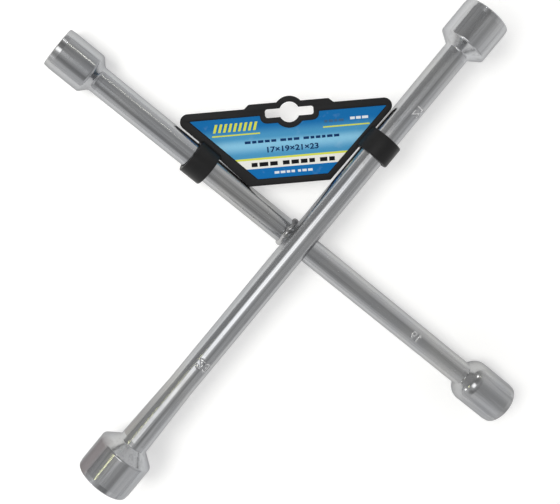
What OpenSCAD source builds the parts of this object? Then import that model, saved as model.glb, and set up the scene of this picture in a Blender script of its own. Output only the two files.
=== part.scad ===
// Four-way cross lug wrench: two round bars welded across each other with a
// hex socket on each of the four ends, and a clip-on plastic hang tag.
// Millimetres. +X runs along the upper bar to the 21 mm socket, +Y along the
// lower bar to the 17 mm socket, +Z up. The origin is at the bottom centre.

/* [Bars] */
// Diameter of the upper bar, which carries the 23 and 21 mm sockets
upper_d = 16; // [12:0.1:22]
// Diameter of the lower bar, which carries the 19 and 17 mm sockets
lower_d = 15.8; // [12:0.1:22]
// Crossing to the mouth of the 23 mm socket
arm_23 = 184.1; // [120:0.1:240]
// Crossing to the mouth of the 21 mm socket
arm_21 = 170.5; // [120:0.1:240]
// Crossing to the mouth of the 19 mm socket
arm_19 = 179.2; // [120:0.1:240]
// Crossing to the mouth of the 17 mm socket
arm_17 = 174.3; // [120:0.1:240]
// Height between the two bar axes at the crossing
axis_gap = 15; // [12:0.1:20]
// Diameter the upper bar swells to at its 23 mm end
flare_d = 18.4; // [16:0.1:22]
// Length of that swelling
flare_len = 42; // [10:1:80]

/* [Sockets] */
// Outside diameter of the 17 mm socket
od_17 = 25; // [22:0.1:30]
// Outside diameter of the 19 mm socket
od_19 = 28.3; // [24:0.1:34]
// Outside diameter of the 21 mm socket
od_21 = 30; // [27:0.1:36]
// Outside diameter of the 23 mm socket
od_23 = 35.4; // [30:0.1:40]
// Length of the 17 mm socket from the foot of its shoulder to its mouth
head_17 = 27; // [22:0.1:40]
// Length of the 19 mm socket from the foot of its shoulder to its mouth
head_19 = 35.2; // [22:0.1:40]
// Length of the 21 mm socket from the foot of its shoulder to its mouth
head_21 = 27.2; // [22:0.1:40]
// Length of the 23 mm socket from the foot of its shoulder to its mouth
head_23 = 29.4; // [22:0.1:40]
// Plain neck between the bar's end and the shoulder
neck_len = 3; // [2:0.1:6]
// Depth of each hex recess
hex_depth = 18; // [12:0.5:24]
// Play added to each nominal width across flats
hex_play = 0.3; // [0:0.05:0.6]
// Width of the slight taper at each mouth
lip_len = 3.5; // [1:0.1:6]
// How much that taper takes off the radius
lip_drop = 0.3; // [0:0.05:1]

/* [Weld] */
// Radius of the weld bead's section
bead_r = 2.4; // [1:0.1:4]
// Distance of each bead from the crossing, along the lower bar
bead_off = 7.2; // [5:0.1:12]

/* [Hang tag] */
// Height of the tag's bottom edge from the crossing, along the tag
tag_bottom = 34.7; // [25:0.1:50]
// Height of the tag's long top edge
tag_top = 79.6; // [60:0.1:100]
// Gap from each bar's axis to the tag's slanting edge
tag_gap = 8.4; // [8.35:0.05:12]
// How far the tag's lower left corner reaches over the lower bar's flank
tag_hug = 2; // [0:0.1:3]
// Rounding of the two top corners
tag_corner = 4.6; // [2:0.1:8]
// Overall thickness of the tag's rim
tag_thick = 2.4; // [1.6:0.1:4]
// Depth of the label recess in the front
recess_front = 0.7; // [0.3:0.1:1.2]
// Depth of the label recess in the back
recess_back = 0.4; // [0.2:0.1:1]
// Width of the rim round the label
rim_w = 4.35; // [2:0.05:6]
// Tilt of the tag, whose right clip rides one bar higher than its left clip
tag_tilt = 8.3; // [0:0.1:12]
// Sideways offset of the hanging slot
slot_off = 1.9; // [-4:0.1:4]
// Length of the hanging slot
slot_len = 28; // [20:0.5:40]
// Height of the hanging slot's two arms
slot_h = 5; // [3:0.1:8]
// Diameter of the hanging slot's round middle
slot_d = 11.8; // [8:0.1:16]
// Thickness of each printed label
label_thick = 0.25; // [0.1:0.05:0.6]

/* [Clips] */
// Centre of each clip from the crossing, along its bar
clip_pos = 72.8; // [50:0.1:100]
// Width of each clip along its bar
clip_w = 13.8; // [8:0.1:20]
// Wall of each clip
clip_wall = 2.9; // [1.5:0.1:4]
// Gap between clip and bar
clip_play = 0.15; // [0.05:0.05:0.5]
// Width of the opening at the back of each clip, in degrees
clip_open = 104; // [80:1:150]

/* [Hidden] */
$fn = 96;
eps = 0.01;
cross_x = (arm_23 - arm_21) / 2;
cross_y = (arm_19 - arm_17) / 2;
lower_z = od_19 / 2;
mid_z = lower_z + axis_gap / 2;
upper_z = lower_z + axis_gap;
slot_v = tag_top - 3.6;
panel_front = tag_thick / 2 - recess_front;
panel_back = -tag_thick / 2 + recess_back;
steel = [0.78, 0.79, 0.8];
black = [0.07, 0.07, 0.08];
label_shift = 1.1;
bar_clear = 0.35;  // between the tag's hollowed edge and the lower bar
hug_top = 57;      // height on the tag where that edge leaves the bar's flank

// Frames of the two bars: local +Z runs along the bar towards +X or +Y.
module on_upper() {
  translate([cross_x, cross_y, upper_z]) rotate([0, 90, 0]) children();
}
module on_lower() {
  translate([cross_x, cross_y, lower_z]) rotate([-90, 0, 0]) children();
}
// Frame of the tag: local X along its long edge, local Y away from the crossing.
module on_tag() {
  translate([cross_x, cross_y, mid_z]) rotate([0, 0, -45]) rotate([0, -tag_tilt, 0]) children();
}

// Half section of a socket: radius across, length up, shoulder foot at zero.
// rn neck radius, ro outside radius, sh shoulder height, rc its rounding,
// rf the hollow fillet at its foot, len the length to the mouth, re the lip rounding.
module socket_section(rn, ro, sh, rc, rf, len, re) {
  al = atan((ro - rn) / sh);
  tc = rc * tan(al / 2);
  tf = rf * tan(al / 2);
  rl = ro - lip_drop;
  difference() {
    union() {
      polygon([
        [0, -neck_len], [rn, -neck_len], [rn, -tf],
        [rn + tf * sin(al), tf * cos(al)],
        [ro - tc * sin(al), sh - tc * cos(al)], [ro, sh + tc],
        [ro, len - lip_len], [rl, len - re], [rl - re, len], [0, len]]);
      translate([ro - rc, sh + tc]) circle(r = rc);
      translate([rl - re, len - re]) circle(r = re);
    }
    translate([rn + rf, -tf]) circle(r = rf);
    translate([-2 * rc, -neck_len - eps]) square([2 * rc, len + neck_len + 1]);
  }
}

// One socket: turned outside, hex recess, lead-in cone and drilled relief.
module socket(af, rn, ro, sh, rc, rf, len, re) {
  flat = (af + hex_play) / 2;
  corner = flat / cos(30);
  difference() {
    rotate_extrude() socket_section(rn, ro, sh, rc, rf, len, re);
    translate([0, 0, len - hex_depth]) cylinder(h = hex_depth + 1, r = corner, $fn = 6);
    translate([0, 0, len - 2.2]) cylinder(h = 2.4, r1 = flat - 0.3, r2 = corner + 0.4);
    translate([0, 0, len - hex_depth - 2]) cylinder(h = 2.5, r = flat - 0.8);
    translate([0, 0, len - hex_depth - 5]) cylinder(h = 3.01, r1 = 1, r2 = flat - 0.8);
  }
}

module upper_rod(r) {
  on_upper() translate([0, 0, -arm_23 + head_23 + neck_len])
    cylinder(h = arm_23 + arm_21 - head_23 - head_21 - 2 * neck_len, r = r);
}
module lower_rod(r) {
  on_lower() translate([0, 0, -arm_19 + head_19 + neck_len])
    cylinder(h = arm_19 + arm_17 - head_19 - head_17 - 2 * neck_len, r = r);
}

module upper_bar() color(steel) {
  upper_rod(upper_d / 2);
  on_upper() translate([0, 0, -arm_23 + head_23 + neck_len])
    cylinder(h = flare_len, r1 = flare_d / 2, r2 = upper_d / 2);
}

// The lower bar has a shallow saddle cut where the upper bar lies across it.
module lower_bar() color(steel) {
  difference() {
    lower_rod(lower_d / 2);
    on_upper() translate([0, 0, -30]) cylinder(h = 60, r = upper_d / 2);
  }
}

module socket_23() color(steel) on_upper() rotate([180, 0, 0])
  translate([0, 0, arm_23 - head_23])
    socket(23, flare_d / 2, od_23 / 2, 6.6, 1.6, 0.8, head_23, 0.9);

module socket_21() color(steel) on_upper()
  translate([0, 0, arm_21 - head_21])
    socket(21, upper_d / 2, od_21 / 2, 4.9, 1.2, 1, head_21, 1);

module socket_19() color(steel) on_lower() rotate([180, 0, 0])
  translate([0, 0, arm_19 - head_19])
    socket(19, lower_d / 2, od_19 / 2, 4.9, 8, 1, head_19, 1);

module socket_17() color(steel) on_lower()
  translate([0, 0, arm_17 - head_17])
    socket(17, lower_d / 2, od_17 / 2, 4, 2.4, 2.6, head_17, 0.7);

// A bead runs round the upper half of the lower bar, in the crook of the crossing.
module weld_bead(side) {
  difference() {
    on_lower() translate([0, 0, side * bead_off]) rotate_extrude()
      translate([lower_d / 2 + 0.2, 0]) circle(r = bead_r);
    on_upper() translate([0, 0, -40]) cylinder(h = 80, r = upper_d / 2);
    on_lower() translate([0, 0, -40]) cylinder(h = 80, r = lower_d / 2);
    translate([cross_x - 20, cross_y - 20, lower_z - 22.5]) cube([40, 40, 20]);
  }
}
module weld_bead_1() color(steel) weld_bead(1);
module weld_bead_2() color(steel) weld_bead(-1);

// Trapezoid whose slanting sides run at 45 degrees: foot is where they would meet.
function trapezoid(foot, bottom, top) = [
  [-(bottom - foot), bottom], [bottom - foot, bottom],
  [top - foot, top], [-(top - foot), top]];

// The tag's solid plate: a trapezoid with rounded ends to its long top edge, a
// corner reaching over the lower bar's flank, a raised step over the hanging
// slot and a round crown on the step.
module tag_plate() {
  foot = tag_gap * sqrt(2);
  run = tag_corner / tan(22.5);
  half = tag_top - foot;
  translate([0, 0, -tag_thick / 2]) {
    linear_extrude(tag_thick) polygon([
      [-(tag_bottom - foot), tag_bottom], [tag_bottom - foot, tag_bottom],
      [half - run * cos(45), tag_top - run * sin(45)], [half - run, tag_top],
      [-(half - run), tag_top], [-(half - run * cos(45)), tag_top - run * sin(45)]]);
    linear_extrude(tag_thick) polygon([
      [-(tag_bottom - foot) - tag_hug, tag_bottom], [2 - (tag_bottom - foot), tag_bottom],
      [2 - (hug_top - foot), hug_top], [-(hug_top - foot), hug_top]]);
    for (s = [-1, 1]) translate([s * (half - run), tag_top - tag_corner, 0])
      cylinder(h = tag_thick, r = tag_corner);
    translate([slot_off, tag_top, 0]) linear_extrude(tag_thick)
      polygon([[-28, -2], [-23.1, 2.4], [23.1, 2.4], [28, -2]]);
    translate([slot_off, slot_v, 0]) cylinder(h = tag_thick, r = slot_d / 2 + 3.3);
  }
}

// The hanging slot, grown all round by g for the rim about it.
module slot_shape(g) {
  translate([slot_off, slot_v]) {
    circle(r = slot_d / 2 + g);
    square([slot_len - 3, slot_h + 2 * g], center = true);
    square([slot_len + 2 * g, slot_h - 3], center = true);
    for (a = [-1, 1]) for (b = [-1, 1])
      translate([a * (slot_len / 2 - 1.5), b * (slot_h / 2 - 1.5)]) circle(r = 1.5 + g);
  }
}

// The label's outline: inside the rim and dipping under the hanging slot.
module label_outline(inset) {
  foot = tag_gap * sqrt(2) + (rim_w + inset) * sqrt(2);
  difference() {
    translate([label_shift, 0])
      polygon(trapezoid(foot, tag_bottom + 3.9 + inset, tag_top - 4.3 - inset));
    slot_shape(3 + inset);
    translate([slot_off - slot_len / 2 - 3 - inset, slot_v])
      square([slot_len + 6 + 2 * inset, 20]);
  }
}

module clip_space(side, r) {
  if (side < 0)
    on_lower() translate([0, 0, clip_pos - clip_w / 2]) cylinder(h = clip_w, r = r);
  else
    on_upper() translate([0, 0, clip_pos - clip_w / 2]) cylinder(h = clip_w, r = r);
}

module tag_frame() color(black) {
  difference() {
    on_tag() difference() {
      tag_plate();
      translate([0, 0, -tag_thick]) linear_extrude(2 * tag_thick) slot_shape(0);
      translate([0, 0, panel_front]) linear_extrude(tag_thick) label_outline(0);
      translate([0, 0, panel_back - tag_thick]) linear_extrude(tag_thick) label_outline(0);
    }
    on_lower() translate([0, 0, 10]) cylinder(h = 90, r = lower_d / 2 + bar_clear);
    clip_space(-1, lower_d / 2 + clip_play + clip_wall);
    clip_space(1, upper_d / 2 + clip_play + clip_wall);
  }
}

// A C-shaped spring clip, open at the back, with small turned-out lips.
module clip(bar_d) {
  ri = bar_d / 2 + clip_play;
  ro = ri + clip_wall;
  half = clip_open / 2;
  translate([0, 0, -clip_w / 2]) linear_extrude(clip_w) {
    difference() {
      circle(r = ro);
      circle(r = ri);
      polygon([[0, 0], [30 * cos(270 - half), 30 * sin(270 - half)],
               [0, -60], [30 * cos(270 + half), 30 * sin(270 + half)]]);
    }
    for (s = [-1, 1]) rotate(270 + s * half)
      translate([(ri + ro) / 2 + 0.4, 0]) circle(r = clip_wall / 2 + 0.3);
  }
}
module left_clip() color(black)
  translate([cross_x, cross_y + clip_pos, lower_z]) rotate([90, 0, 0]) clip(lower_d);
module right_clip() color(black)
  translate([cross_x + clip_pos, cross_y, upper_z]) rotate([90, 0, 90]) clip(upper_d);

module front_label() color([0.1, 0.38, 0.66]) on_tag()
  translate([0, 0, panel_front]) linear_extrude(label_thick) label_outline(0.15);
module back_label() color([0.92, 0.92, 0.9]) on_tag()
  translate([0, 0, panel_back - label_thick]) linear_extrude(label_thick) label_outline(0.15);

upper_bar();
lower_bar();
socket_23();
socket_21();
socket_19();
socket_17();
weld_bead_1();
weld_bead_2();
tag_frame();
left_clip();
right_clip();
front_label();
back_label();
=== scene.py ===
import math
import random

import bmesh
import bpy
from mathutils import Matrix, Vector, noise


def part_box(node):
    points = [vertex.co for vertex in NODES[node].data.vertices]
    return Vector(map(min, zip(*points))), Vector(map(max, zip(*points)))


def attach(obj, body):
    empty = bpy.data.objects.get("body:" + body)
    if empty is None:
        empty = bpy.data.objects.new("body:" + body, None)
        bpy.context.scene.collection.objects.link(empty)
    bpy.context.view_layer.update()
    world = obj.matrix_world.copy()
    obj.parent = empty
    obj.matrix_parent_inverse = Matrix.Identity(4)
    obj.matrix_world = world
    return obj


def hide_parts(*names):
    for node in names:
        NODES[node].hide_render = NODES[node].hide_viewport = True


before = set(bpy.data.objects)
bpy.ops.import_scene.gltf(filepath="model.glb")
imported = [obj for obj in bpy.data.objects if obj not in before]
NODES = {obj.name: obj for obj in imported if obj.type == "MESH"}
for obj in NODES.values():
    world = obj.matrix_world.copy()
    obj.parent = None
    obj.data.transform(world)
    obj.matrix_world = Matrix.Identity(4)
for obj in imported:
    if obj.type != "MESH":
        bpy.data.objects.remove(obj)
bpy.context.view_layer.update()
MM = 0.001
rng = random.Random(17192123)

# ------------------------------------------------------------------ positions
up_lo, up_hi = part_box("upper_bar")
low_lo, low_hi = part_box("lower_bar")
s21_lo, s21_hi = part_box("socket_21")
s19_lo, s19_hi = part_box("socket_19")
CROSS_X = (low_lo.x + low_hi.x) / 2
CROSS_Y = (up_lo.y + up_hi.y) / 2
UPPER_Z = (s21_lo.z + s21_hi.z) / 2
LOWER_Z = (s19_lo.z + s19_hi.z) / 2
MID_Z = (UPPER_Z + LOWER_Z) / 2
UPPER_R = 8.0 * MM
LOWER_R = 7.9 * MM
FLARE_R = 9.2 * MM
FLARE_LEN = 42 * MM

# Frames with local Z along each bar (upper: +X, lower: +Y) and local X up.
ON_UPPER = Matrix.Translation((CROSS_X, CROSS_Y, UPPER_Z)) @ Matrix(
    ((0, 0, 1, 0), (0, 1, 0, 0), (-1, 0, 0, 0), (0, 0, 0, 1))) @ Matrix.Rotation(math.pi, 4, "Z")
ON_LOWER = Matrix.Translation((CROSS_X, CROSS_Y, LOWER_Z)) @ Matrix(
    ((0, -1, 0, 0), (0, 0, 1, 0), (-1, 0, 0, 0), (0, 0, 0, 1))) @ Matrix.Rotation(math.pi, 4, "Z")
# Frame of the hang tag: X along its long edge, Y away from the crossing.
ON_TAG = (Matrix.Translation((CROSS_X, CROSS_Y, MID_Z))
          @ Matrix.Rotation(math.radians(-45), 4, "Z")
          @ Matrix.Rotation(math.radians(-8.3), 4, "Y"))


# ------------------------------------------------------------------ materials
class Nodes:
    """A small helper that builds one procedural material. Noise scales are per metre, and
    bump distances are in metres."""

    def __init__(self, name):
        self.mat = bpy.data.materials.new(name)
        self.mat.use_nodes = True
        self.tree = self.mat.node_tree
        self.bsdf = self.tree.nodes["Principled BSDF"]
        self.coord = self.add("ShaderNodeTexCoord").outputs["Object"]

    def add(self, kind, **props):
        n = self.tree.nodes.new(kind)
        for k, v in props.items():
            setattr(n, k, v)
        return n

    def link(self, a, b):
        self.tree.links.new(a, b)

    def scaled(self, scale, turn=(0, 0, 0)):
        m = self.add("ShaderNodeMapping")
        m.inputs["Scale"].default_value = scale
        m.inputs["Rotation"].default_value = turn
        self.link(self.coord, m.inputs["Vector"])
        return m.outputs["Vector"]

    def noise(self, scale, detail=3.0, rough=0.5, turn=(0, 0, 0)):
        """Fractal noise. scale is one number, or three for stretched noise."""
        n = self.add("ShaderNodeTexNoise")
        n.inputs["Detail"].default_value = detail
        n.inputs["Roughness"].default_value = rough
        if isinstance(scale, tuple):
            vector = self.scaled(scale, turn)
            n.inputs["Scale"].default_value = 1.0
        else:
            vector = self.coord
            n.inputs["Scale"].default_value = scale
        self.link(vector, n.inputs["Vector"])
        return n.outputs["Fac"]

    def ramp(self, fac, stops, mode="LINEAR"):
        """stops: (position, grey or rgb)."""
        r = self.add("ShaderNodeValToRGB")
        r.color_ramp.interpolation = mode
        el = r.color_ramp.elements
        while len(el) < len(stops):
            el.new(0.5)
        for e, (pos, col) in zip(el, stops):
            e.position = pos
            e.color = (*col, 1) if isinstance(col, tuple) else (col, col, col, 1)
        self.link(fac, r.inputs["Fac"])
        return r.outputs["Color"]

    def math(self, op, a, b, clamp=False):
        m = self.add("ShaderNodeMath", operation=op, use_clamp=clamp)
        for i, v in enumerate((a, b)):
            if isinstance(v, (int, float)):
                m.inputs[i].default_value = v
            else:
                self.link(v, m.inputs[i])
        return m.outputs[0]

    def mix(self, fac, a, b, blend="MIX"):
        m = self.add("ShaderNodeMix", data_type="RGBA", blend_type=blend)
        for sock, v in ((m.inputs[0], fac), (m.inputs[6], a), (m.inputs[7], b)):
            if isinstance(v, tuple):
                sock.default_value = (*v, 1)
            elif isinstance(v, (int, float)):
                sock.default_value = v
            else:
                self.link(v, sock)
        return m.outputs[2]

    def bump(self, height, strength, distance, before=None):
        b = self.add("ShaderNodeBump")
        b.inputs["Strength"].default_value = strength
        b.inputs["Distance"].default_value = distance
        self.link(height, b.inputs["Height"])
        if before is not None:
            self.link(before, b.inputs["Normal"])
        return b.outputs["Normal"]

    def finish(self, colour=None, rough=None, normal=None, **constants):
        for sock, v in (("Base Color", colour), ("Roughness", rough), ("Normal", normal)):
            if v is not None:
                self.link(v, self.bsdf.inputs[sock])
        for k, v in constants.items():
            self.bsdf.inputs[k.replace("_", " ")].default_value = v
        return self.mat


def chrome(name, streak, rings=None, rough=(0.16, 0.26), painted_brightness=1.0, painted_flank_shade=None):
    """Satin chrome plate. streak is the noise scale along the drawn direction,
    rings the scale for turned marks across the axis. The last argument paints shade,
    a darker reflection, on the +Y flank of the 23 mm end: (start, full, what it leaves),
    from the crossing in mm.
    The metal is bright where the mesh says that a numeral was struck."""
    n = Nodes(name)
    cloud = n.noise(26.0, 4, 0.55)
    fine = n.noise(420.0, 3, 0.6)
    lines = n.noise(streak, 4, 0.6)
    steel = ((0.3, (0.454, 0.465, 0.485)), (0.52, (0.484, 0.490, 0.500)), (0.7, (0.514, 0.515, 0.510)))
    # The colour scale paints light or shade into one copy of the chrome: the sockets along X are a lit copy,
    # the lower bar and the sockets along Y shaded ones.
    base = n.ramp(cloud, [(stop, tuple(c * painted_brightness for c in shade)) for stop, shade in steel])
    dull = n.ramp(lines, [(0.30, 0.76), (0.48, 1.0), (0.60, 1.0), (0.74, 0.90)])
    colour = n.mix(1.0, base, dull, "MULTIPLY")
    # Painted shade: the +Y flank is darkened, fading in towards the 23 mm end, as a darker reflection painted
    # into the colour.
    if painted_flank_shade:
        start, full, leaves = painted_flank_shade
        xyz = n.add("ShaderNodeSeparateXYZ")
        n.link(n.coord, xyz.inputs[0])
        out = n.math("SUBTRACT", xyz.outputs[1], CROSS_Y)
        up = n.math("SUBTRACT", xyz.outputs[2], UPPER_Z)
        flank = n.math("ARCTAN2", out, up)      # 0 on top, a quarter turn on the flank
        shade_band = n.ramp(n.math("DIVIDE", flank, math.pi),
                      [(0.22, 0.0), (0.33, 1.0), (0.42, 1.0), (0.50, 0.45), (0.64, 0.0)], "EASE")
        past_start = n.math("SUBTRACT", xyz.outputs[0], CROSS_X - start * MM)
        place = n.math("DIVIDE", past_start, (start - full) * MM, clamp=True)
        shade_applied = n.mix(1.0, colour, leaves, "MULTIPLY")
        colour = n.mix(n.math("MULTIPLY", shade_band, place), colour, shade_applied)
    blend = n.mix(0.5, cloud, lines)
    r = n.ramp(blend, [(0.32, rough[0]), (0.68, rough[1])])
    pits = n.ramp(n.noise(900.0, 2, 0.5), [(0.70, 0.0), (0.78, 1.0)])
    r = n.math("ADD", r, n.math("MULTIPLY", pits, 0.08))
    struck_here = n.add("ShaderNodeAttribute", attribute_name="struck").outputs["Fac"]
    bright = n.ramp(struck_here, [(0.25, 0.0), (0.70, 1.0)])
    colour = n.mix(bright, colour, (0.92, 0.92, 0.92))
    r = n.mix(bright, r, (0.09, 0.09, 0.09))
    normal = n.bump(lines, 0.16, 0.00010)
    if rings:
        normal = n.bump(n.noise(rings, 3, 0.55), 0.10, 0.0001, normal)
    normal = n.bump(cloud, 0.35, 0.0005, normal)
    normal = n.bump(fine, 0.04, 0.00005, normal)
    torn = n.math("MULTIPLY", bright, n.noise(1300.0, 2, 0.5))
    normal = n.bump(torn, 0.8, 0.0006, normal)
    return n.finish(colour, r, normal, Metallic=1.0, Specular_Tint=(0.55, 0.55, 0.56, 1))


# The upper bar carries painted shade on its +Y flank towards the 23 mm socket.
CHROME_UPPER = chrome("chrome_drawn_x", (5.0, 640.0, 640.0), painted_flank_shade=(95, 140, (0.66, 0.64, 0.62)))
# Painted shade: the lower bar is a slightly darker copy of the chrome.
CHROME_LOWER = chrome("chrome_drawn_y", (640.0, 5.0, 640.0), painted_brightness=0.97)
# Sockets are turned, so they are smoother than the drawn bars and have rings round them.
TURNED = (0.11, 0.22)
STREAK_X, RINGS_X = (14.0, 260.0, 260.0), (1500.0, 12.0, 12.0)
STREAK_Y, RINGS_Y = (260.0, 14.0, 260.0), (12.0, 1500.0, 12.0)
# Painted light: the sockets along X are a brighter copy of the chrome.
CHROME_SOCKET_X = chrome("chrome_turned_x", STREAK_X, RINGS_X, TURNED, painted_brightness=1.09)
# Socket 23 has its own copy of the chrome, with painted shade on its +Y flank.
CHROME_SOCKET_23 = chrome("chrome_turned_23", STREAK_X, RINGS_X, TURNED,
                          painted_flank_shade=(158, 163, (0.46, 0.42, 0.42)))
# Painted shade: the sockets along Y are a darker copy of the chrome.
CHROME_SOCKET_Y = chrome("chrome_turned_y", STREAK_Y, RINGS_Y, TURNED, painted_brightness=0.92)


def weld_chrome():
    """Plating over the weld beads, dull, with painted shade that darkens it towards the 21 mm side, in the
    corner between the bars.
    """
    n = Nodes("chrome_over_weld")
    coarse = n.noise(150.0, 2, 0.5)
    fine = n.noise(1400.0, 3, 0.6)
    colour = n.ramp(coarse, [(0.3, (0.36, 0.36, 0.37)), (0.5, (0.42, 0.42, 0.42)),
                             (0.7, (0.50, 0.495, 0.49))])
    xyz = n.add("ShaderNodeSeparateXYZ")
    n.link(n.coord, xyz.inputs[0])
    # Painted shade: the bead goes dark towards +X, in the corner between the bars.
    painted_shade_from, painted_shade_over = CROSS_X + 3.5 * MM, 4.0 * MM
    past = n.math("SUBTRACT", xyz.outputs[0], painted_shade_from)
    painted_shade_fade = n.math("DIVIDE", past, painted_shade_over, clamp=True)
    colour = n.mix(painted_shade_fade, colour, (0.10, 0.10, 0.105))
    r = n.ramp(coarse, [(0.3, 0.30), (0.65, 0.22)])
    normal = n.bump(coarse, 0.02, 0.0004)
    normal = n.bump(fine, 0.02, 0.0001, normal)
    return n.finish(colour, r, normal, Metallic=1.0)


def black_plastic():
    """Moulded plastic with a fine texture and paler scuffs."""
    n = Nodes("black_moulded_plastic")
    peel = n.noise(900.0, 3, 0.6)
    cloud = n.noise(60.0, 4, 0.6)
    scuff = n.ramp(n.noise((300.0, 1400.0, 300.0), 4, 0.65, turn=(0.3, 0.5, 0.8)),
                   [(0.62, 0.0), (0.74, 1.0)])
    black = n.ramp(cloud, [(0.3, (0.008, 0.008, 0.0085)), (0.7, (0.013, 0.013, 0.0135))])
    colour = n.mix(n.math("MULTIPLY", scuff, 0.35), black, (0.03, 0.03, 0.032))
    r = n.math("ADD", n.ramp(cloud, [(0.3, 0.34), (0.7, 0.48)]), n.math("MULTIPLY", scuff, 0.1))
    normal = n.bump(peel, 0.22, 0.00012)
    return n.finish(colour, r, normal, Specular_IOR_Level=0.24)


WELD = weld_chrome()
PLASTIC = black_plastic()


def along(n, axis, origin):
    """Distance in millimetres of a point from origin along axis, as a node value."""
    sub = n.add("ShaderNodeVectorMath", operation="SUBTRACT")
    n.link(n.coord, sub.inputs[0])
    sub.inputs[1].default_value = origin
    dot = n.add("ShaderNodeVectorMath", operation="DOT_PRODUCT")
    n.link(sub.outputs[0], dot.inputs[0])
    dot.inputs[1].default_value = axis
    return n.math("MULTIPLY", dot.outputs["Value"], 1000.0)


TAG_ORIGIN = ON_TAG.translation
TAG_V = ON_TAG.col[1].to_3d()

BLUE_DEEP = (0.005, 0.137, 0.380)
BLUE_MID = (0.064, 0.285, 0.510)
BLUE_PALE = (0.230, 0.520, 0.720)
BLUE_FOOT = (0.004, 0.143, 0.415)
YELLOW = (0.640, 0.680, 0.080)
CREAM = (0.780, 0.775, 0.730)
NAVY = (0.006, 0.035, 0.120)


# The label's ground is a ramp over its height, in millimetres from the crossing.
GROUND_FOOT, GROUND_HEIGHT = 35.0, 45.0
SKY_FROM = 51.1


def on_ground(mm):
    return (mm - GROUND_FOOT) / GROUND_HEIGHT


def front_print():
    """The label's ground: a blue band, a cream and a yellow one, then blues that fade."""
    n = Nodes("printed_label_front")
    v = along(n, TAG_V, TAG_ORIGIN)
    height = n.math("DIVIDE", n.math("SUBTRACT", v, GROUND_FOOT), GROUND_HEIGHT)
    blues = n.ramp(height, [(on_ground(44.9), BLUE_MID), (on_ground(52.5), BLUE_MID),
                            (on_ground(58.8), BLUE_PALE), (on_ground(63.5), BLUE_MID),
                            (on_ground(70.5), BLUE_DEEP)], "EASE")
    bands = n.ramp(height, [(0.0, BLUE_FOOT), (on_ground(44.8), CREAM), (on_ground(49.9), YELLOW),
                            (on_ground(SKY_FROM), BLUE_MID)], "CONSTANT")
    above = n.math("GREATER_THAN", v, SKY_FROM)
    art = n.mix(above, bands, blues)
    screen = n.noise(2600.0, 2, 0.6)
    art = n.mix(0.10, art, n.ramp(screen, [(0.35, 0.25), (0.65, 1.0)]), "MULTIPLY")
    rub = n.ramp(n.noise(120.0, 5, 0.6), [(0.60, 0.0), (0.80, 1.0)])
    art = n.mix(n.math("MULTIPLY", rub, 0.10), art, (0.75, 0.78, 0.8))
    r = n.ramp(n.noise(90.0, 4, 0.6), [(0.3, 0.36), (0.7, 0.5)])
    normal = n.bump(n.noise(130.0, 3, 0.5), 0.18, 0.0004)
    normal = n.bump(screen, 0.05, 0.00004, normal)
    return n.finish(art, r, normal, Specular_IOR_Level=0.12)


def ink(name, colour):
    """Printing ink, slightly uneven, in one colour."""
    n = Nodes(name)
    grain = n.noise(2600.0, 2, 0.6)
    wear = n.noise(300.0, 4, 0.6)
    lo = tuple(c * 0.86 for c in colour)
    c = n.mix(n.ramp(grain, [(0.35, 0.0), (0.65, 1.0)]), lo, colour)
    r = n.ramp(wear, [(0.3, 0.34), (0.7, 0.48)])
    return n.finish(c, r, n.bump(grain, 0.06, 0.00004), Specular_IOR_Level=0.10)


def paper():
    """The plain sticker on the back."""
    n = Nodes("plain_label_back")
    fibre = n.noise((900.0, 260.0, 900.0), 4, 0.65, turn=(0.0, 0.0, 0.6))
    cloud = n.noise(70.0, 4, 0.6)
    c = n.mix(0.5, n.ramp(fibre, [(0.3, (0.70, 0.69, 0.66)), (0.7, (0.80, 0.79, 0.76))]),
              n.ramp(cloud, [(0.3, (0.72, 0.71, 0.69)), (0.7, (0.82, 0.82, 0.80))]))
    r = n.ramp(cloud, [(0.3, 0.55), (0.7, 0.72)])
    normal = n.bump(fibre, 0.15, 0.0001)
    normal = n.bump(cloud, 0.2, 0.0004, normal)
    return n.finish(c, r, normal)


LABEL = front_print()
PAPER = paper()
INK_YELLOW = ink("ink_yellow", YELLOW)
INK_NAVY = ink("ink_navy", NAVY)
INK_BLACK = ink("ink_black", (0.008, 0.008, 0.010))
INK_WHITE = ink("ink_white", (0.72, 0.76, 0.80))
INK_SLATE = ink("ink_slate", (0.045, 0.120, 0.235))


# ------------------------------------------------------------------ mesh tools
def smooth(mesh, angle=35):
    for p in mesh.polygons:
        p.use_smooth = True
    mesh.set_sharp_from_angle(angle=math.radians(angle))


def piece(name, mesh, material, body, replaces=()):
    """Adds a finished mesh, already in the row frame, as one named piece."""
    mesh.name = name
    mesh.materials.clear()
    mesh.materials.append(material)
    ob = bpy.data.objects.new(name, mesh)
    bpy.context.scene.collection.objects.link(ob)
    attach(ob, body)
    if replaces:
        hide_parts(*replaces)
    return ob


def rounded(points):
    """A closed outline from (x, y, radius) corners, in millimetres."""
    out = []
    n = len(points)
    for i, (x, y, r) in enumerate(points):
        p = Vector((x, y))
        if r <= 0:
            out.append(p)
            continue
        a = Vector(points[i - 1][:2]) - p
        b = Vector(points[(i + 1) % n][:2]) - p
        a.normalize()
        b.normalize()
        half = math.acos(max(-1, min(1, a.dot(b)))) / 2
        run = r / math.tan(half)
        centre = p + (a + b).normalized() * (r / math.sin(half))
        start, end = p + a * run - centre, p + b * run - centre
        sweep = start.angle_signed(end)
        steps = max(2, int(abs(sweep) / math.radians(9)))
        for k in range(steps + 1):
            rot = Matrix.Rotation(-sweep * k / steps, 2)
            out.append(centre + rot @ start)
    return out


def arc(cx, cy, r, a0, a1, steps=24):
    return [Vector((cx + r * math.cos(math.radians(a0 + (a1 - a0) * k / steps)),
                    cy + r * math.sin(math.radians(a0 + (a1 - a0) * k / steps))))
            for k in range(steps + 1)]


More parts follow.
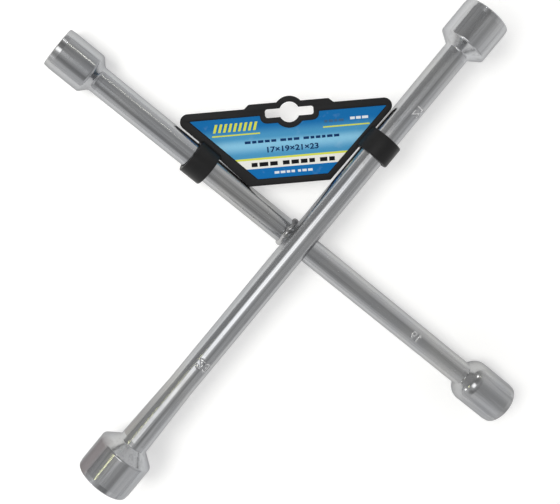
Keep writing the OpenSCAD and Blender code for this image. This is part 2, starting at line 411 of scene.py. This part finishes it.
def plate(outlines, z0, z1, matrix, bevel=0.0, resolution=3, angle=35):
    """A mesh from closed outlines (holes inside), between z0 and z1, in millimetres."""
    curve = bpy.data.curves.new("plate", "CURVE")
    curve.dimensions = "2D"
    curve.fill_mode = "BOTH"
    curve.extrude = (z1 - z0) / 2 - bevel
    curve.bevel_depth = bevel
    curve.bevel_resolution = resolution
    curve.offset = -bevel
    for pts in outlines:
        spline = curve.splines.new("POLY")
        spline.points.add(len(pts) - 1)
        for q, p in zip(spline.points, pts):
            q.co = (p[0], p[1], 0, 1)
        spline.use_cyclic_u = True
    ob = bpy.data.objects.new("plate", curve)
    bpy.context.scene.collection.objects.link(ob)
    mesh = bpy.data.meshes.new_from_object(ob.evaluated_get(bpy.context.evaluated_depsgraph_get()))
    bpy.data.objects.remove(ob)
    bpy.data.curves.remove(curve)
    mesh.transform(matrix @ Matrix.Scale(MM, 4) @ Matrix.Translation((0, 0, (z0 + z1) / 2)))
    clean(mesh)
    smooth(mesh, angle)
    return mesh


def clean(mesh):
    """Merges doubled points, removes faces without area and turns the others outwards."""
    bm = bmesh.new()
    bm.from_mesh(mesh)
    bmesh.ops.remove_doubles(bm, verts=bm.verts, dist=2e-6)
    bmesh.ops.dissolve_degenerate(bm, edges=bm.edges, dist=1e-7)
    bmesh.ops.recalc_face_normals(bm, faces=bm.faces)
    bm.to_mesh(mesh)
    bm.free()


def joined(meshes):
    """One mesh from several, which are used up."""
    bm = bmesh.new()
    for m in meshes:
        bm.from_mesh(m)
        bpy.data.meshes.remove(m)
    out = bpy.data.meshes.new("joined")
    bm.to_mesh(out)
    bm.free()
    return out


# ------------------------------------------------------------------ stamped sizes
def oval_arc(cx, cy, rx, ry, a0, a1, steps=14):
    return [(cx + rx * math.cos(math.radians(a0 + (a1 - a0) * k / steps)),
             cy + ry * math.sin(math.radians(a0 + (a1 - a0) * k / steps))) for k in range(steps + 1)]


# Plain stroke numerals in a box 0.6 wide and 1 high.
STROKES = {
    "1": [[(0.14, 0.80), (0.36, 1.0), (0.36, 0.0)]],
    "2": [oval_arc(0.30, 0.72, 0.28, 0.28, 160, -35) + [(0.02, 0.0), (0.60, 0.0)]],
    "3": [oval_arc(0.28, 0.75, 0.26, 0.25, 150, -90),
          oval_arc(0.28, 0.27, 0.30, 0.27, 90, -155)],
    "7": [[(0.0, 1.0), (0.58, 1.0), (0.20, 0.0)]],
    "9": [oval_arc(0.30, 0.70, 0.28, 0.30, 0, 360, 20),
          oval_arc(0.02, 0.70, 0.56, 0.70, 0, -62)],
}


DIGIT_PITCH = 0.86   # from one numeral to the next, as a share of its height


def stroke_segments(text, size):
    """Line segments of a stamped number, centred on its own middle, in millimetres."""
    out = []
    for i, ch in enumerate(text):
        for line in STROKES[ch]:
            pts = [((x - 0.3 + DIGIT_PITCH * (i - (len(text) - 1) / 2)) * size, (y - 0.5) * size)
                   for x, y in line]
            out += list(zip(pts, pts[1:]))
    return out


def nearest(segments, x, y):
    """Distance from a point to the nearest segment, 9 mm at most."""
    best = 9.0
    for (ax, ay), (bx, by) in segments:
        dx, dy = bx - ax, by - ay
        t = max(0.0, min(1.0, ((x - ax) * dx + (y - ay) * dy) / (dx * dx + dy * dy + 1e-12)))
        best = min(best, math.hypot(x - ax - t * dx, y - ay - t * dy))
    return best


# A punched stroke, in millimetres: half its width and its depth, and the lip beside it.
STRUCK_HALF, STRUCK_DEPTH = 0.46, 0.38
LIP_AT, LIP_SPREAD, LIP_HEIGHT = 0.62, 0.17, 0.10


def struck(d):
    """Depth profile across one punched stroke: a round groove with a raised lip."""
    groove = 0.0
    if d < STRUCK_HALF:
        groove = -STRUCK_DEPTH * math.cos(min(d / STRUCK_HALF, 1.0) * math.pi / 2) ** 0.8
    return groove + LIP_HEIGHT * math.exp(-((d - LIP_AT) / LIP_SPREAD) ** 2)


# ------------------------------------------------------------------ bars
def spaced(values, least):
    """The values in order, without those closer than least to the one before; keeps both ends."""
    values = sorted(values)
    out = values[:1]
    for v in values[1:-1]:
        if v - out[-1] >= least and values[-1] - v >= least:
            out.append(v)
    return out + values[-1:]


# Spacing of a bar's mesh: millimetres along it and degrees round it, finer at a stamp.
ROW_STEP, ROW_STEP_FINE, ROW_LEAST = 3.0, 0.17, 0.05
ANGLE_STEP, ANGLE_STEP_FINE, ANGLE_LEAST = 5, 1.25, 0.2
STAMP_MARGIN = 0.9


def bar(name, matrix, start, end, radius, stamps, material, node, trim=None):
    """A round bar along local Z. stamps: (text, place along, angle, size, across)."""
    rows = set()
    s = start
    while s < end:
        rows.add(round(s, 3))
        s += ROW_STEP
    rows.add(round(end, 3))
    angles = {float(a) for a in range(0, 360, ANGLE_STEP)}
    areas = []
    for text, place, angle, size, across in stamps:
        length = size * DIGIT_PITCH * len(text)
        half_s, half_t = (size / 2, length / 2) if across else (length / 2, size / 2)
        half_s += STAMP_MARGIN
        half_t = math.degrees((half_t + STAMP_MARGIN) / radius(place))
        k = -half_s
        while k <= half_s:
            rows.add(round(place + k, 3))
            k += ROW_STEP_FINE
        k = -half_t
        while k <= half_t:
            angles.add(round((angle + k) % 360, 3))
            k += ANGLE_STEP_FINE
        areas.append((stroke_segments(text, size), place, angle, across, half_s, half_t))
    rows, angles = spaced(rows, ROW_LEAST), spaced(angles, ANGLE_LEAST)
    bm = bmesh.new()
    rings, marks = [], []
    for s in rows:
        ring = []
        for a in angles:
            r = radius(s)
            mark = 0.0
            for segments, place, angle, across, half_s, half_t in areas:
                da = (a - angle + 180) % 360 - 180
                if abs(s - place) <= half_s and abs(da) <= half_t:
                    along_bar, round_bar = s - place, math.radians(da) * r
                    x, y = (round_bar, -along_bar) if across else (along_bar, round_bar)
                    mark = struck(nearest(segments, x, y))
                    r += mark
            c, q = math.cos(math.radians(a)), math.sin(math.radians(a))
            edge = min(1.0, (s - start) / 6, (end - s) / 6)
            r += 0.030 * edge * noise.noise(Vector((c * 0.9, q * 0.9, s * 0.055 + start)))
            ring.append(bm.verts.new((r * c, r * q, s)))
            marks.append(min(1.0, abs(mark) / STRUCK_DEPTH))
        rings.append(ring)
    n = len(angles)
    for lo, hi in zip(rings, rings[1:]):
        for i in range(n):
            bm.faces.new((lo[i], lo[(i + 1) % n], hi[(i + 1) % n], hi[i]))
    bm.faces.new(rings[0])
    bm.faces.new(rings[-1])
    bm.transform(matrix @ Matrix.Scale(MM, 4))
    if trim:
        for v in bm.verts:
            trim(v.co)
    bmesh.ops.recalc_face_normals(bm, faces=bm.faces)
    mesh = bpy.data.meshes.new(name)
    bm.to_mesh(mesh)
    bm.free()
    mesh.attributes.new("struck", "FLOAT", "POINT").data.foreach_set("value", marks)
    smooth(mesh, 50)
    return piece(name, mesh, material, "wrench", [node])


def flared(s):
    t = max(0.0, min(1.0, (s - UPPER_START) / (FLARE_LEN / MM)))
    return (FLARE_R + (UPPER_R - FLARE_R) * t) / MM


def saddle(co):
    """Sinks the lower bar's top to the upper bar's underside, where they cross."""
    y = co.y - CROSS_Y
    if abs(y) < UPPER_R and co.z > LOWER_Z:
        co.z = min(co.z, UPPER_Z - math.sqrt(UPPER_R ** 2 - y * y))


UPPER_START, UPPER_END = (up_lo.x - CROSS_X) / MM, (up_hi.x - CROSS_X) / MM
LOWER_START, LOWER_END = (low_lo.y - CROSS_Y) / MM, (low_hi.y - CROSS_Y) / MM
# Angles run from the top of the bar: towards -Y on the upper bar, towards +X on the lower.
bar("bar_upper", ON_UPPER, UPPER_START, UPPER_END, flared,
    [("23", -90.8, 6, 5.0, True), ("21", 102.0, 24, 4.6, False)], CHROME_UPPER, "upper_bar")
bar("bar_lower", ON_LOWER, LOWER_START, LOWER_END, lambda s: LOWER_R / MM,
    [("19", -99.6, 2, 4.6, False), ("17", 100.0, 118, 4.6, False)], CHROME_LOWER, "lower_bar", saddle)


# ------------------------------------------------------------------ weld beads
# A weld bead, in millimetres and degrees from the top of the lower bar. Towards its ends
# the bead sinks into that bar and moves nearer to the upper one.
WELD_REACH, WELD_BEND = 106, 64
WELD_OFF_LOWER, WELD_OFF_UPPER, WELD_INWARD = 8.3, 7.7, 1.9
WELD_R, WELD_RIPPLE, WELD_LUMP, RIPPLE_PITCH = 2.10, 0.03, 0.06, 3.4
TAPER_STEPS = 7


def weld(name, side, node):
    """A rippled bead in the crook between the bars, over the lower bar and down both flanks."""
    reach = math.radians(WELD_REACH)
    path = []
    steps = 110
    for k in range(steps + 1):
        phi = -reach + 2 * reach * k / steps
        down = min(1.0, abs(phi) / math.radians(WELD_BEND))
        down = down * down * (3 - 2 * down)
        sink = 0.3 if phi > 0 else 1.0     # full on the 21 mm side, only a web on the other
        r_low = WELD_OFF_LOWER - sink * down
        y = WELD_OFF_UPPER - WELD_INWARD * down
        path.append(Vector((r_low * math.sin(phi), side * y, r_low * math.cos(phi))))
    bm = bmesh.new()
    rings, run, round_steps = [], 0.0, 28
    for k, p in enumerate(path):
        if k:
            run += (p - path[k - 1]).length
        t = (path[min(k + 1, steps)] - path[max(k - 1, 0)]).normalized()
        u = t.cross(Vector((0, side, 0.35))).normalized()
        w = t.cross(u)
        end = min(k, steps - k) / TAPER_STEPS
        taper = math.sqrt(1 - (1 - min(1.0, end)) ** 2) if end < 1 else 1.0
        ripple = abs(math.sin(math.pi * run / RIPPLE_PITCH))
        ring = []
        for i in range(round_steps):
            a = 2 * math.pi * i / round_steps
            d = u * math.cos(a) + w * math.sin(a)
            lump = noise.noise(p * 0.35 + d * 0.6 + Vector((0, side * 7, 0)))
            r = max(0.05, taper) * (WELD_R + WELD_RIPPLE * ripple + WELD_LUMP * lump)
            ring.append(bm.verts.new(p + d * r))
        rings.append(ring)
    for lo, hi in zip(rings, rings[1:]):
        for i in range(round_steps):
            bm.faces.new((lo[i], lo[(i + 1) % round_steps], hi[(i + 1) % round_steps], hi[i]))
    bm.faces.new(rings[0])
    bm.faces.new(rings[-1])
    bm.transform(Matrix.Translation((CROSS_X, CROSS_Y, LOWER_Z)) @ Matrix.Scale(MM, 4))
    bmesh.ops.recalc_face_normals(bm, faces=bm.faces)
    mesh = bpy.data.meshes.new(name)
    bm.to_mesh(mesh)
    bm.free()
    smooth(mesh, 70)
    return piece(name, mesh, WELD, "wrench", [node])


weld("weld_bead_far", 1, "weld_bead_1")
weld("weld_bead_near", -1, "weld_bead_2")


# ------------------------------------------------------------------ CAD nodes that stay
for name, material in (("socket_23", CHROME_SOCKET_23), ("socket_21", CHROME_SOCKET_X),
                       ("socket_19", CHROME_SOCKET_Y), ("socket_17", CHROME_SOCKET_Y),
                       ("front_label", LABEL), ("back_label", PAPER)):
    NODES[name].data.materials.clear()
    NODES[name].data.materials.append(material)


# ------------------------------------------------------------------ hang tag
GAP = 8.4 * math.sqrt(2)   # where the slanting sides would meet the middle line
SLOT_U, SLOT_V = 1.9, 76.0
SLOT_HALF_W, SLOT_HALF_H, SLOT_ROUND_R = 14.0, 2.5, 5.9
TAG_TOP, TAG_FOOT = 79.6, 34.7
HUG, HUG_TOP = 2.0, 57.0   # the left edge reaches over the lower bar's flank
half_top, half_foot = TAG_TOP - GAP, TAG_FOOT - GAP
STEP = [(-25.8 + SLOT_U, TAG_TOP), (-23.1 + SLOT_U, TAG_TOP + 2.4),
        (23.1 + SLOT_U, TAG_TOP + 2.4), (25.8 + SLOT_U, TAG_TOP)]
CROWN_R = 9.2
crown_half = math.degrees(math.acos((TAG_TOP + 2.4 - SLOT_V) / CROWN_R))


def rounded_through(corners, arcs_at):
    """Corners with an arc's points put in after the corner with that index."""
    pts = []
    for i, c in enumerate(corners):
        pts.append(c)
        for p in arcs_at.get(i, ()):
            pts.append((p[0], p[1], 0))
    return rounded(pts)


outer = rounded_through(
    [(-half_foot - HUG, TAG_FOOT, 1.2), (half_foot, TAG_FOOT, 1.2),
     (half_top, TAG_TOP, 4.6),
     (STEP[3][0], STEP[3][1], 1.5), (STEP[2][0], STEP[2][1], 1.6),
     (STEP[1][0], STEP[1][1], 1.6), (STEP[0][0], STEP[0][1], 1.5),
     (-half_top, TAG_TOP, 4.6), (-(HUG_TOP - GAP), HUG_TOP, 3.0)],
    {4: arc(SLOT_U, SLOT_V, CROWN_R, 90 - crown_half, 90 + crown_half)})


def slot_outline(grow):
    """The hanging slot: a flat slot with a round middle, grown all round."""
    h, r = SLOT_HALF_H + grow, SLOT_ROUND_R + grow
    a = math.degrees(math.asin(h / r))
    w = SLOT_HALF_W + grow
    corner = 1.5 + grow
    pts = [(SLOT_U + w, SLOT_V + h, corner)]
    pts += [(p[0], p[1], 0) for p in arc(SLOT_U, SLOT_V, r, a, 180 - a)]
    pts += [(SLOT_U - w, SLOT_V + h, corner), (SLOT_U - w, SLOT_V - h, corner)]
    pts += [(p[0], p[1], 0) for p in arc(SLOT_U, SLOT_V, r, 180 + a, 360 - a)]
    pts += [(SLOT_U + w, SLOT_V - h, corner)]
    return rounded(pts)


def window_outline(inset, soft=0.5):
    """The label recess: inside the rim, dipping under the hanging slot."""
    foot = 18.03 + inset * math.sqrt(2)
    bottom, top = 38.6 + inset, 75.3 - inset
    grow = 3.0 + inset
    h, r, w = SLOT_HALF_H + grow, SLOT_ROUND_R + grow, SLOT_HALF_W + grow
    a = math.degrees(math.asin(h / r))
    du = 1.1
    c = 3.6 + inset
    pts = [(-(bottom - foot) + du, bottom, soft), ((bottom - foot) + du, bottom, soft),
           ((top - foot) + du, top, soft), (SLOT_U + w, top, 0.5), (SLOT_U + w, SLOT_V - h, c)]
    pts += [(p[0], p[1], 0) for p in reversed(arc(SLOT_U, SLOT_V, r, 180 + a, 360 - a))]
    pts += [(SLOT_U - w, SLOT_V - h, c), (SLOT_U - w, top, 0.5), (-(top - foot) + du, top, soft)]
    return rounded(pts)


RIM_HALF, WEB_LOW, WEB_TOP, WEB_UNDER_RIM = 1.2, -0.8, 0.5, 0.8
TAG_CLEAR_R = LOWER_R + 0.3 * MM
rim = plate([outer, slot_outline(0), window_outline(0)], -RIM_HALF, RIM_HALF, ON_TAG, bevel=0.45)
web = plate([window_outline(-WEB_UNDER_RIM)], WEB_LOW, WEB_TOP, ON_TAG)
for v in rim.vertices:   # the edge is hollowed to clear the lower bar
    off = Vector((v.co.x - CROSS_X, v.co.z - LOWER_Z))
    if off.length < TAG_CLEAR_R:
        off = off.normalized() * TAG_CLEAR_R
        v.co.x, v.co.z = CROSS_X + off.x, LOWER_Z + off.y
piece("tag_moulding", joined([rim, web]), PLASTIC, "hang_tag", ["tag_frame"])


# A clip, in millimetres: play round the bar, wall, and half its mouth in degrees.
CLIP_PLAY, CLIP_WALL, CLIP_MOUTH = 0.15, 2.9, 52


def clip_outline(bar_r):
    """C profile in the plane across the bar, opening towards -Y."""
    ri, wall, half = bar_r / MM + CLIP_PLAY, CLIP_WALL, CLIP_MOUTH
    ro, lip = ri + wall, wall / 2 + 0.3
    mid = (ri + ro) / 2 + 0.4
    a0, a1 = 270 - half, 270 + half - 360
    pts = arc(0, 0, ro, a1 + 5, a0 - 5, 72)
    e = math.radians(a0)
    pts += arc(mid * math.cos(e), mid * math.sin(e), lip, a0 - 5, a0 + 175, 14)
    pts += arc(0, 0, ri, a0 - 5, a1 + 5, 72)
    e = math.radians(a1)
    pts += arc(mid * math.cos(e), mid * math.sin(e), lip, a1 + 185, a1 + 365, 14)
    return pts


CLIP_AT, CLIP_W = 72.8, 13.8
left_at = (Matrix.Translation((CROSS_X, CROSS_Y + CLIP_AT * MM, LOWER_Z))
           @ Matrix.Rotation(math.pi / 2, 4, "X"))
right_at = (Matrix.Translation((CROSS_X + CLIP_AT * MM, CROSS_Y, UPPER_Z))
            @ Matrix.Rotation(math.pi / 2, 4, "Z") @ Matrix.Rotation(math.pi / 2, 4, "X"))
left = plate([clip_outline(LOWER_R)], -CLIP_W / 2, CLIP_W / 2, left_at, bevel=0.9)
right = plate([clip_outline(UPPER_R)], -CLIP_W / 2, CLIP_W / 2, right_at, bevel=0.9)
piece("clip_left", left, PLASTIC, "hang_tag", ["left_clip"])
piece("clip_right", right, PLASTIC, "hang_tag", ["right_clip"])


# ------------------------------------------------------------------ print on the label
INK_LOW, INK_TOP = 0.74, 0.785   # the ink's underside and top, from the tag's middle plane


def rectangle(u0, u1, v0, v1):
    return [Vector((u0, v0)), Vector((u1, v0)), Vector((u1, v1)), Vector((u0, v1))]


def printed(name, outlines, material):
    return piece(name, plate(outlines, INK_LOW, INK_TOP, ON_TAG), material, "hang_tag")


def hatching(u0, u1, v0, v1, count, cover, lean):
    """A row of equal slanted stripes. cover is the share of the pitch that is printed."""
    pitch = (u1 - u0 - lean) / (count - 1 + cover)
    width = pitch * cover
    starts = [u0 + k * pitch for k in range(count)]
    return [[Vector((u, v0)), Vector((u + width, v0)), Vector((u + width + lean, v1)), Vector((u + lean, v1))]
            for u in starts]


def solid_row(u0, u1, v0, v1, groups, gap, space):
    """A row of plain solid bars, all as high, in groups. groups gives the bars in each."""
    count = sum(groups)
    room = (u1 - u0) - gap * (count - len(groups)) - space * (len(groups) - 1)
    shares = [rng.uniform(0.7, 1.3) for _ in range(count)]
    unit = room / sum(shares)
    out, u = [], u0
    widths = iter(shares)
    for group in groups:
        for _ in range(group):
            width = next(widths) * unit
            out.append(rectangle(u, u + width, v0, v1))
            u += width + gap
        u += space - gap
    return out


printed("print_rule_left", [rectangle(-43.7, -15.9, 65.0, 65.8)], INK_YELLOW)
printed("print_mark_left", hatching(-43.0, -16.8, 67.4, 72.2, 9, 0.52, 1.6), INK_YELLOW)
printed("print_rule_right", [rectangle(20.7, 47.7, 65.3, 66.1)], INK_YELLOW)
printed("print_small_dark", solid_row(21.6, 32.8, 68.2, 69.7, [4], 0.7, 0.0), INK_SLATE)
printed("print_small_white", solid_row(36.6, 47.0, 68.8, 70.3, [3], 0.7, 0.0), INK_WHITE)
printed("print_line_navy", solid_row(-25.2, 29.7, 59.7, 61.2, [5, 3, 6], 0.9, 2.4), INK_NAVY)
printed("print_band_black", solid_row(-22.4, 26.2, 46.0, 48.4, [3, 4, 2], 1.1, 3.0), INK_BLACK)
printed("print_foot_white", solid_row(-9.4, 12.8, 41.1, 42.5, [4, 3], 0.8, 1.8), INK_WHITE)


def numerals(name, body, u0, u1, v0, v1, material):
    """A line of raised type, stretched to fill the box."""
    curve = bpy.data.curves.new("numerals", "FONT")
    curve.body = body
    curve.fill_mode = "BOTH"
    curve.resolution_u = 4
    curve.offset = 0.028
    ob = bpy.data.objects.new("numerals", curve)
    bpy.context.scene.collection.objects.link(ob)
    mesh = bpy.data.meshes.new_from_object(ob.evaluated_get(bpy.context.evaluated_depsgraph_get()))
    bpy.data.objects.remove(ob)
    bpy.data.curves.remove(curve)
    bm = bmesh.new()
    bm.from_mesh(mesh)
    bmesh.ops.remove_doubles(bm, verts=bm.verts, dist=1e-6)
    grown = bmesh.ops.extrude_face_region(bm, geom=bm.faces[:])
    for vtx in grown["geom"]:
        if isinstance(vtx, bmesh.types.BMVert):
            vtx.co.z += 1.0
    bmesh.ops.recalc_face_normals(bm, faces=bm.faces)
    bm.to_mesh(mesh)
    bm.free()
    xs = [q.co.x for q in mesh.vertices]
    ys = [q.co.y for q in mesh.vertices]
    sx = (u1 - u0) / (max(xs) - min(xs))
    sy = (v1 - v0) / (max(ys) - min(ys))
    for q in mesh.vertices:
        q.co = (u0 + (q.co.x - min(xs)) * sx, v0 + (q.co.y - min(ys)) * sy,
                INK_TOP if q.co.z > 0.5 else INK_LOW)
    mesh.transform(ON_TAG @ Matrix.Scale(MM, 4))
    return piece(name, mesh, material, "hang_tag")


numerals("print_sizes", "17×19×21×23", -12.6, 17.3, 53.7, 57.1, INK_NAVY)

# ------------------------------------------------------------------ floor, light, camera
floor_mesh = bpy.data.meshes.new("floor")
bm = bmesh.new()
bmesh.ops.create_grid(bm, x_segments=1, y_segments=1, size=6.0)
bm.to_mesh(floor_mesh)
bm.free()
floor_look = Nodes("pale_floor")
floor_look.finish(floor_look.ramp(floor_look.noise(3.0, 2, 0.5), [(0.3, 0.80), (0.7, 0.82)]), None, None,
          Roughness=0.9, Emission_Color=(1, 1, 1, 1), Emission_Strength=0.30)
floor_mesh.materials.append(floor_look.mat)
floor = bpy.data.objects.new("floor", floor_mesh)
bpy.context.scene.collection.objects.link(floor)

# The studio, as brightness by direction. Each long bar mirrors a narrow strip of it, so
# its soft patches are placed by the angle from straight up in the plane across a bar.
world = bpy.data.worlds.new("studio")
bpy.context.scene.world = world
world.use_nodes = True


class Sky(Nodes):
    """The same node helper, for the world."""

    def __init__(self, tree):
        self.tree = tree
        self.coord = self.add("ShaderNodeTexCoord").outputs["Generated"]
        xyz = self.add("ShaderNodeSeparateXYZ")
        self.link(self.coord, xyz.inputs[0])
        self.x, self.y, self.z = xyz.outputs
        self.to_y, self.to_x = self.from_up(self.y), self.from_up(self.x)

    def from_up(self, side):
        """Degrees from straight up towards side."""
        return self.math("MULTIPLY", self.math("ARCTAN2", side, self.z), 180 / math.pi)

    def fade(self, value, start, end, low, high):
        """Goes smoothly from low to high as value goes from start to end."""
        m = self.add("ShaderNodeMapRange", interpolation_type="SMOOTHSTEP")
        self.link(value, m.inputs["Value"])
        for k, v in (("From Min", start), ("From Max", end), ("To Min", low), ("To Max", high)):
            m.inputs[k].default_value = v
        return m.outputs["Result"]

    def patch(self, angle, side, centre, half, soft, gain):
        """gain inside an oval patch, 1 outside. centre and half: (degrees, sideways)."""
        p = self.math("POWER", self.math("DIVIDE", self.math("SUBTRACT", angle, centre[0]), half[0]), 2)
        q = self.math("POWER", self.math("DIVIDE", self.math("SUBTRACT", side, centre[1]), half[1]), 2)
        return self.fade(self.math("ADD", p, q), (1 - soft) ** 2, (1 + soft) ** 2, gain, 1.0)


sky = Sky(world.node_tree)
level = sky.ramp(sky.z, [(0.0, 0.78), (0.3, 0.76), (0.6, 0.66), (0.8, 0.45), (0.9, 0.46), (1.0, 0.54)])
corner = sky.add("ShaderNodeVectorMath", operation="DOT_PRODUCT")
sky.link(sky.coord, corner.inputs[0])
corner.inputs[1].default_value = Vector((0.36, 0.86, 0.36)).normalized()
shades = [
    sky.fade(corner.outputs["Value"], 0.3, 0.85, 1.0, 0.52),                      # dark far corner
    sky.patch(sky.to_y, sky.x, (-66, -0.06), (17, 0.20), 0.35, 0.62),             # low on the near side
    sky.patch(sky.to_x, sky.y, (-40, -0.10), (13, 0.32), 0.30, 0.66),             # band on the left
    sky.patch(sky.to_x, sky.y, (-3, -0.31), (40, 0.17), 0.15, 0.80),              # ceiling on the near side
    sky.patch(sky.to_x, sky.y, (-30, -0.56), (30, 0.11), 0.10, 1.30),             # pale wall beyond it
]
shade = shades[0]
for more in shades[1:]:
    shade = sky.math("MULTIPLY", shade, more)
softbox = sky.math("SUBTRACT", 1.0, sky.patch(sky.to_y, sky.x, (22, 0.0), (10.5, 9.0), 1.0, 0.0))
softbox = sky.math("MULTIPLY", softbox, sky.fade(sky.x, -0.33, -0.16, 0.05, 1.0))
softbox = sky.math("MULTIPLY", softbox, sky.fade(sky.x, 0.05, 0.11, 1.0, 0.0))
softbox = sky.math("MULTIPLY", softbox, sky.fade(sky.x, -0.60, -0.36, 0.0, 1.0))
softbox = sky.math("MULTIPLY", softbox, 2.1)
total = sky.mix(1.0, level, shade, "MULTIPLY")
total = sky.mix(1.0, total, softbox, "ADD")
sky.link(total, world.node_tree.nodes["Background"].inputs["Color"])


def area(name, at, target, size, power, colour=(1, 1, 1)):
    """A rectangular lamp at a place, facing target."""
    light = bpy.data.lights.new(name, "AREA")
    light.shape = "RECTANGLE"
    light.size, light.size_y = size
    light.energy = power
    light.color = colour
    ob = bpy.data.objects.new(name, light)
    ob.location = at
    ob.rotation_mode = "QUATERNION"
    ob.rotation_quaternion = (Vector(target) - Vector(at)).to_track_quat("-Z", "Y")
    bpy.context.scene.collection.objects.link(ob)
    return ob


key = area("key", (-0.20, 0.62, 1.05), (0, 0, 0.02), (0.62, 0.36), 7, (1.0, 0.99, 0.95))
key.visible_glossy = False   # the soft box in the studio is what the plating mirrors
# Two small lamps that only tilted facets mirror: stamped numerals, welds and shoulders.
area("lamp_right", (0.80, 0.52, 0.62), (0, 0, 0.03), (0.11, 0.11), 0.7)
area("lamp_left", (-0.90, 0.58, 0.55), (0, 0, 0.03), (0.11, 0.11), 0.6)
area("strip", (-0.50, 0.80, 0.86), (-0.15, 0, 0.03), (0.26, 0.018), 0.17, (1.0, 1.0, 0.55))
area("tube", (0.78, 0.14, 0.66), (0, 0.1, 0.02), (0.30, 0.012), 0.10, (1.0, 0.98, 0.85))

cam = bpy.data.cameras.new("camera")
cam.sensor_width = 36.0
cam.lens = 58.51
cam.clip_start, cam.clip_end = 0.01, 20
camera = bpy.data.objects.new("camera", cam)
camera.location = (0.026493, 0.150989, 0.541996)
camera.rotation_euler = [math.radians(a) for a in (-12.54311, -9.90942, -49.79682)]
bpy.context.scene.collection.objects.link(camera)
bpy.context.scene.camera = camera
bpy.context.scene.view_settings.view_transform = "Standard"
